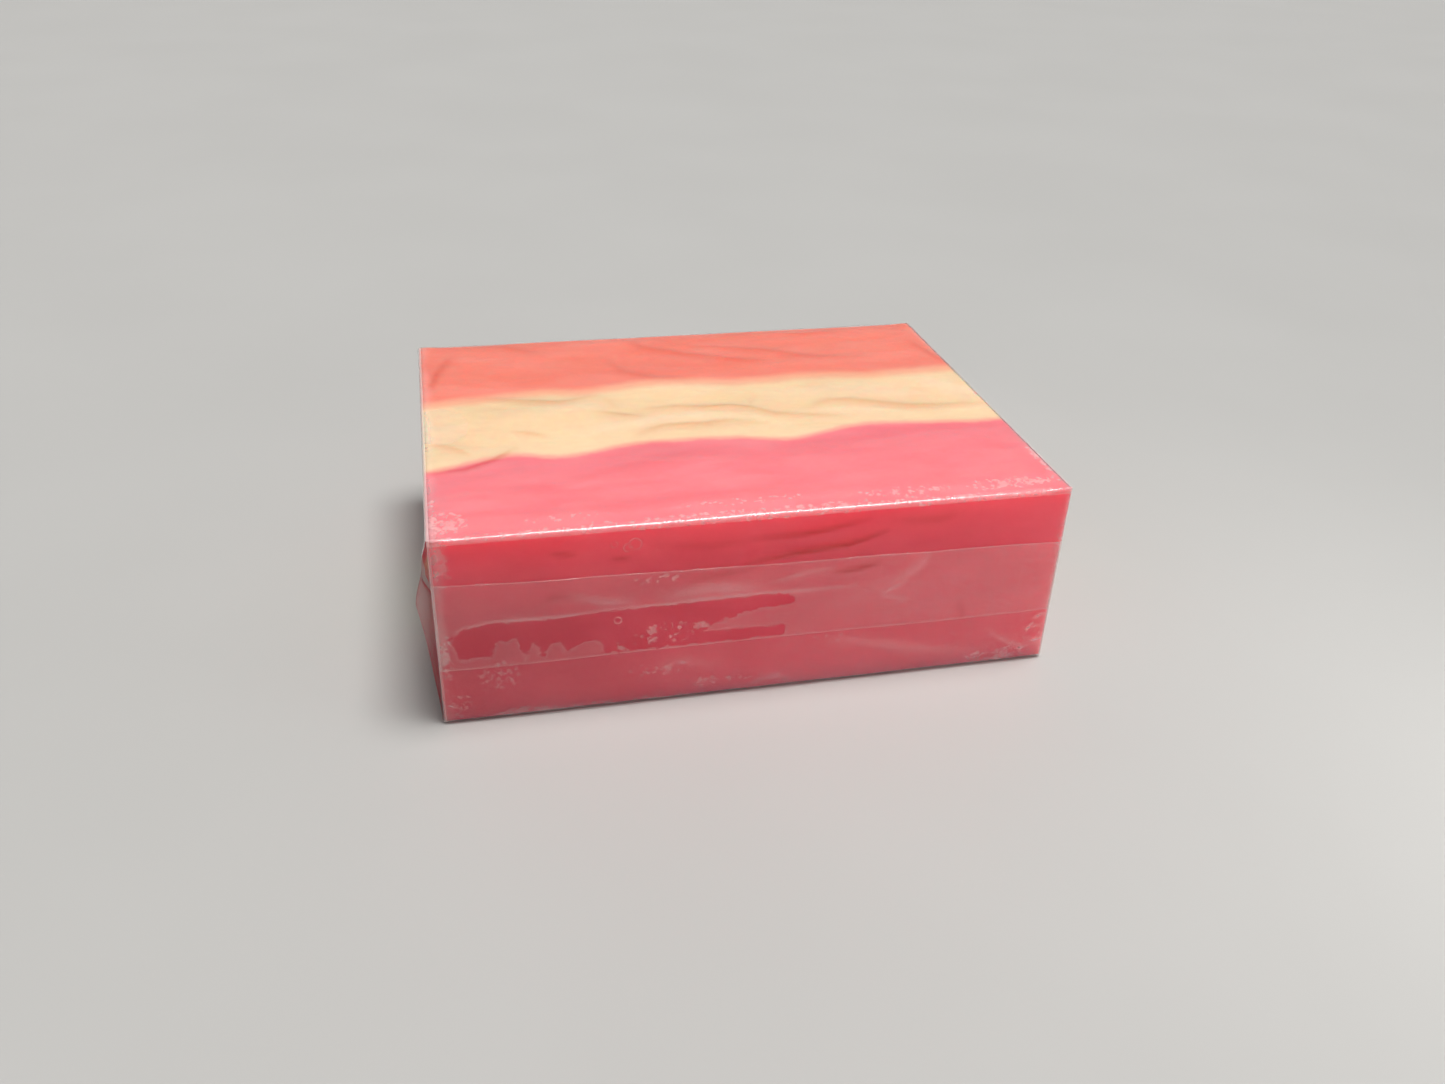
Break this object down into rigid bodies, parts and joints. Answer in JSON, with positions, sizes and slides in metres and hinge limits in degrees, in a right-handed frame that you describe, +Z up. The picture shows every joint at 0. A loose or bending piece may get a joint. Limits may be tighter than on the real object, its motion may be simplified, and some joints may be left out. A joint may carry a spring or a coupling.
{
  "type": "wrapped layered soap bar",
  "caption": "Rectangular soap bar of three coloured layers with wavy joints, in a clear film wrapper lapped down its front and folded like an envelope at both ends.",
  "frame": {"origin": "centre of the resting face, on the plane the wrapped bar lies on", "axes": "+X along the bar's length, +Y from the lapped front face to the back face, +Z up through the bar's thickness"},
  "size_m": [0.08, 0.06, 0.026],
  "materials": {
    "pink_soap": "smooth, slightly waxy",
    "cream_soap": "smooth, slightly waxy",
    "coral_soap": "smooth, slightly waxy",
    "clear_film": "clear, glossy"
  },
  "bodies": {
    "bar": {"pink_soap_layer": "pink_soap", "cream_soap_layer": "cream_soap", "coral_soap_layer": "coral_soap", "film_sleeve": "clear_film"},
    "left_bottom_flap": {"left_bottom_flap": "clear_film", "left_bottom_gussets": "clear_film"},
    "left_top_flap": {"left_top_flap": "clear_film", "left_top_gussets": "clear_film"},
    "left_front_tuck": {"left_front_tuck": "clear_film", "left_front_tuck_lap": "clear_film"},
    "left_back_tuck": {"left_back_tuck": "clear_film"},
    "right_bottom_flap": {"right_bottom_flap": "clear_film", "right_bottom_gussets": "clear_film"},
    "right_top_flap": {"right_top_flap": "clear_film", "right_top_gussets": "clear_film"},
    "right_front_tuck": {"right_front_tuck": "clear_film", "right_front_tuck_lap": "clear_film"},
    "right_back_tuck": {"right_back_tuck": "clear_film"}
  },
  "joints": [
    {"name": "left_bottom_flap_fold", "type": "hinge", "parent": "bar", "child": "left_bottom_flap", "pos_m": [-0.0399, 0, 0.0001], "axis": [0, -1, 0], "range_deg": [0, 90]},
    {"name": "left_top_flap_fold", "type": "hinge", "parent": "bar", "child": "left_top_flap", "pos_m": [-0.0396, 0, 0.0259], "axis": [0, 1, 0], "range_deg": [0, 67.5]},
    {"name": "left_front_tuck_fold", "type": "hinge", "parent": "bar", "child": "left_front_tuck", "pos_m": [-0.03915, -0.02975, 0.013], "axis": [0, 0, 1], "range_deg": [0, 67.5]},
    {"name": "left_back_tuck_fold", "type": "hinge", "parent": "bar", "child": "left_back_tuck", "pos_m": [-0.03915, 0.0299, 0.013], "axis": [0, 0, -1], "range_deg": [0, 67.5]},
    {"name": "right_bottom_flap_fold", "type": "hinge", "parent": "bar", "child": "right_bottom_flap", "pos_m": [0.0399, 0, 0.0001], "axis": [0, 1, 0], "range_deg": [0, 90]},
    {"name": "right_top_flap_fold", "type": "hinge", "parent": "bar", "child": "right_top_flap", "pos_m": [0.0396, 0, 0.0259], "axis": [0, -1, 0], "range_deg": [0, 67.5]},
    {"name": "right_front_tuck_fold", "type": "hinge", "parent": "bar", "child": "right_front_tuck", "pos_m": [0.03915, -0.02975, 0.013], "axis": [0, 0, -1], "range_deg": [0, 67.5]},
    {"name": "right_back_tuck_fold", "type": "hinge", "parent": "bar", "child": "right_back_tuck", "pos_m": [0.03915, 0.0299, 0.013], "axis": [0, 0, 1], "range_deg": [0, 67.5]}
  ],
  "couplings": [
    {"joint": "left_top_flap_fold", "follows": "left_bottom_flap_fold", "ratio": 0.75},
    {"joint": "left_front_tuck_fold", "follows": "left_bottom_flap_fold", "ratio": 0.75},
    {"joint": "left_back_tuck_fold", "follows": "left_bottom_flap_fold", "ratio": 0.75},
    {"joint": "right_top_flap_fold", "follows": "right_bottom_flap_fold", "ratio": 0.75},
    {"joint": "right_front_tuck_fold", "follows": "right_bottom_flap_fold", "ratio": 0.75},
    {"joint": "right_back_tuck_fold", "follows": "right_bottom_flap_fold", "ratio": 0.75}
  ]
}
